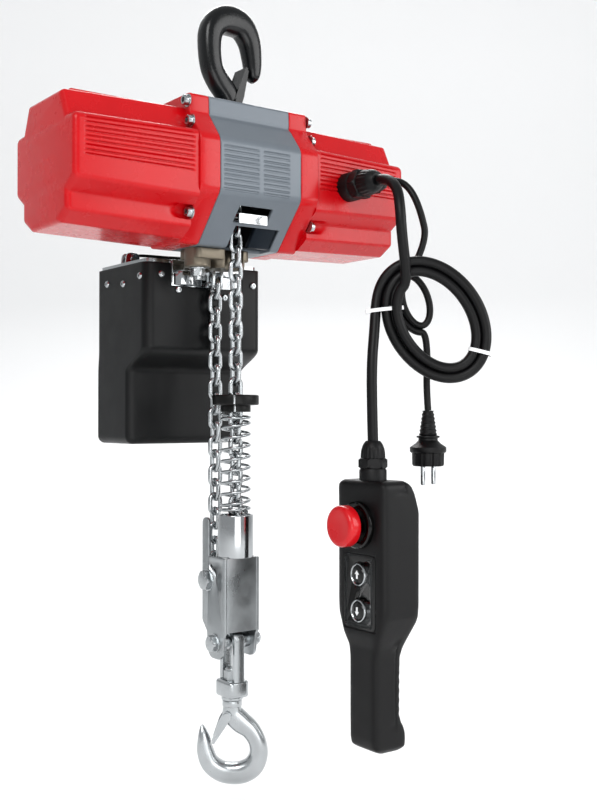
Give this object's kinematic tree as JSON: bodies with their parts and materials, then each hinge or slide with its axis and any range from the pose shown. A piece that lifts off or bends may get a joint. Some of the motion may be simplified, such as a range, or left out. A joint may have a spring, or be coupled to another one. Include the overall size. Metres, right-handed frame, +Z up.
{
  "type": "electric chain hoist",
  "caption": "Two-fall electric chain hoist with a swivelling top hook, bottom block with load hook, chain container, wired pendant control and mains lead.",
  "frame": {"origin": "the saddle of the top hook, where the hoist hangs from its eye or clamp", "axes": "+X along the body towards the cover with the glands, -Y the front with the chain window, +Z up"},
  "size_m": [0.397, 0.346, 0.798],
  "materials": {
    "red_paint": "gloss",
    "grey_paint": "satin",
    "black_forged": "satin",
    "zinc_steel": "bright zinc",
    "brushed_steel": "ground",
    "bronze": "cast",
    "cast_iron": "machined",
    "copper": "enamelled wire",
    "black_plastic": "moulded",
    "gloss_black": "moulded",
    "cable_rubber": "matt",
    "red_plastic": "moulded",
    "board_green": "laminate",
    "black_rubber": "matt"
  },
  "bodies": {
    "top_hook": {"top_hook": "black_forged", "top_hook_nut": "brushed_steel", "top_latch_pin": "black_forged"},
    "top_latch": {"top_hook_latch": "black_forged"},
    "hoist": {"center_housing": "grey_paint", "left_cover": "red_paint", "right_cover": "red_paint", "cover_screws": "zinc_steel", "gearbox_plate": "cast_iron", "motor_shield": "cast_iron", "stator_core": "cast_iron", "stator_windings": "copper", "brake_coil": "cast_iron", "shaft_bearings": "brushed_steel", "control_board": "board_green", "limit_switch": "black_plastic", "chain_guide": "bronze", "chain_anchor": "zinc_steel", "chain_container": "black_plastic", "container_frame": "zinc_steel", "container_screws": "zinc_steel", "stored_chain": "zinc_steel", "drive_chain": "zinc_steel", "load_chain": "zinc_steel", "cable_gland": "black_plastic", "lead_gland": "black_plastic", "pendant_cable_top": "cable_rubber", "pendant_cable_coil": "cable_rubber", "pendant_cable_tail": "cable_rubber", "mains_lead_top": "cable_rubber", "mains_lead_loops": "cable_rubber", "mains_lead_tail": "cable_rubber", "plug_body": "black_plastic", "plug_pins": "brushed_steel", "pendant_front": "black_plastic", "pendant_back": "black_plastic", "pendant_gland": "black_plastic", "switch_block": "black_plastic"},
    "motor": {"rotor": "brushed_steel", "brake_disc": "cast_iron"},
    "countershaft": {"countershaft": "brushed_steel"},
    "sheave": {"load_sheave": "cast_iron", "output_gear": "brushed_steel"},
    "armature": {"brake_armature": "brushed_steel"},
    "limit_lever": {"limit_lever": "zinc_steel"},
    "block": {"block_frame": "zinc_steel", "block_tube": "zinc_steel", "block_bolts": "zinc_steel", "bumper_spring": "zinc_steel"},
    "bumper": {"bumper": "black_rubber"},
    "idler": {"idler_sheave": "cast_iron"},
    "yoke": {"hook_yoke": "zinc_steel"},
    "load_hook": {"load_hook": "zinc_steel", "load_hook_nut": "zinc_steel", "load_latch_pin": "zinc_steel"},
    "load_latch": {"load_hook_latch": "zinc_steel"},
    "estop_push": {"estop_stem": "black_plastic"},
    "estop_head": {"estop_head": "red_plastic"},
    "up_button": {"up_button": "gloss_black"},
    "down_button": {"down_button": "gloss_black"}
  },
  "joints": [
    {"name": "hoist_swivel", "type": "hinge", "parent": "top_hook", "child": "hoist", "pos_m": [0, 0, -0.083], "axis": [0, 0, 1], "continuous": true},
    {"name": "top_latch_hinge", "type": "hinge", "parent": "top_hook", "child": "top_latch", "pos_m": [0.004, 0, -0.0715], "axis": [0, -1, 0], "range_deg": [0, 16], "stiffness_Nm_per_rad": 0.02, "springref_deg": -11.46},
    {"name": "motor_spin", "type": "hinge", "parent": "hoist", "child": "motor", "pos_m": [-0.126, 0, -0.158], "axis": [1, 0, 0], "continuous": true},
    {"name": "countershaft_spin", "type": "hinge", "parent": "hoist", "child": "countershaft", "pos_m": [0.064, 0, -0.128], "axis": [1, 0, 0], "continuous": true},
    {"name": "sheave_spin", "type": "hinge", "parent": "hoist", "child": "sheave", "pos_m": [-0.006, 0, -0.158], "axis": [1, 0, 0], "continuous": true, "deforming": ["drive_chain"]},
    {"name": "brake_release", "type": "slide", "parent": "hoist", "child": "armature", "axis": [-1, 0, 0], "range_m": [0, 0.0008], "stiffness_N_per_m": 4000, "springref_m": -0.0005},
    {"name": "limit_tip", "type": "hinge", "parent": "hoist", "child": "limit_lever", "pos_m": [-0.006, -0.041, -0.196], "axis": [-1, 0, 0], "range_deg": [0, 6], "stiffness_Nm_per_rad": 0.05, "springref_deg": -11.46},
    {"name": "block_lift", "type": "slide", "parent": "hoist", "child": "block", "axis": [0, 0, 1], "range_m": [0, 0.1], "deforming": ["load_chain"]},
    {"name": "bumper_press", "type": "slide", "parent": "block", "child": "bumper", "axis": [0, 0, -1], "range_m": [0, 0.04], "stiffness_N_per_m": 600, "springref_m": -0.01, "deforming": ["bumper_spring"]},
    {"name": "idler_spin", "type": "hinge", "parent": "block", "child": "idler", "pos_m": [-0.006, -0.00272, -0.562], "axis": [1, 0, 0], "range_deg": [-302, 0]},
    {"name": "yoke_swing", "type": "hinge", "parent": "block", "child": "yoke", "pos_m": [-0.006, -0.016, -0.624], "axis": [1, 0, 0], "range_deg": [-20, 20]},
    {"name": "hook_swivel", "type": "hinge", "parent": "yoke", "child": "load_hook", "pos_m": [-0.006, -0.016, -0.673], "axis": [0, 0, 1], "continuous": true},
    {"name": "load_latch_hinge", "type": "hinge", "parent": "load_hook", "child": "load_latch", "pos_m": [-0.01005, -0.01306, -0.699], "axis": [-0.5878, -0.809, 0], "range_deg": [0, 32], "stiffness_Nm_per_rad": 0.02, "springref_deg": -11.46},
    {"name": "estop_press", "type": "slide", "parent": "hoist", "child": "estop_push", "axis": [1, 0, 0], "range_m": [0, 0.0038], "stiffness_N_per_m": 900, "springref_m": -0.001},
    {"name": "estop_twist", "type": "hinge", "parent": "estop_push", "child": "estop_head", "pos_m": [0.063, -0.135, -0.501], "axis": [-1, 0, 0], "range_deg": [0, 45], "stiffness_Nm_per_rad": 0.05, "springref_deg": -5.73},
    {"name": "up_press", "type": "slide", "parent": "hoist", "child": "up_button", "axis": [1, 0, 0], "range_m": [0, 0.003], "stiffness_N_per_m": 500, "springref_m": -0.001},
    {"name": "down_press", "type": "slide", "parent": "hoist", "child": "down_button", "axis": [1, 0, 0], "range_m": [0, 0.003], "stiffness_N_per_m": 500, "springref_m": -0.001}
  ],
  "couplings": [
    {"joint": "countershaft_spin", "follows": "motor_spin", "ratio": -0.33333},
    {"joint": "sheave_spin", "follows": "motor_spin", "ratio": 0.13725},
    {"joint": "idler_spin", "follows": "block_lift", "rad_per_m": -52.356}
  ]
}
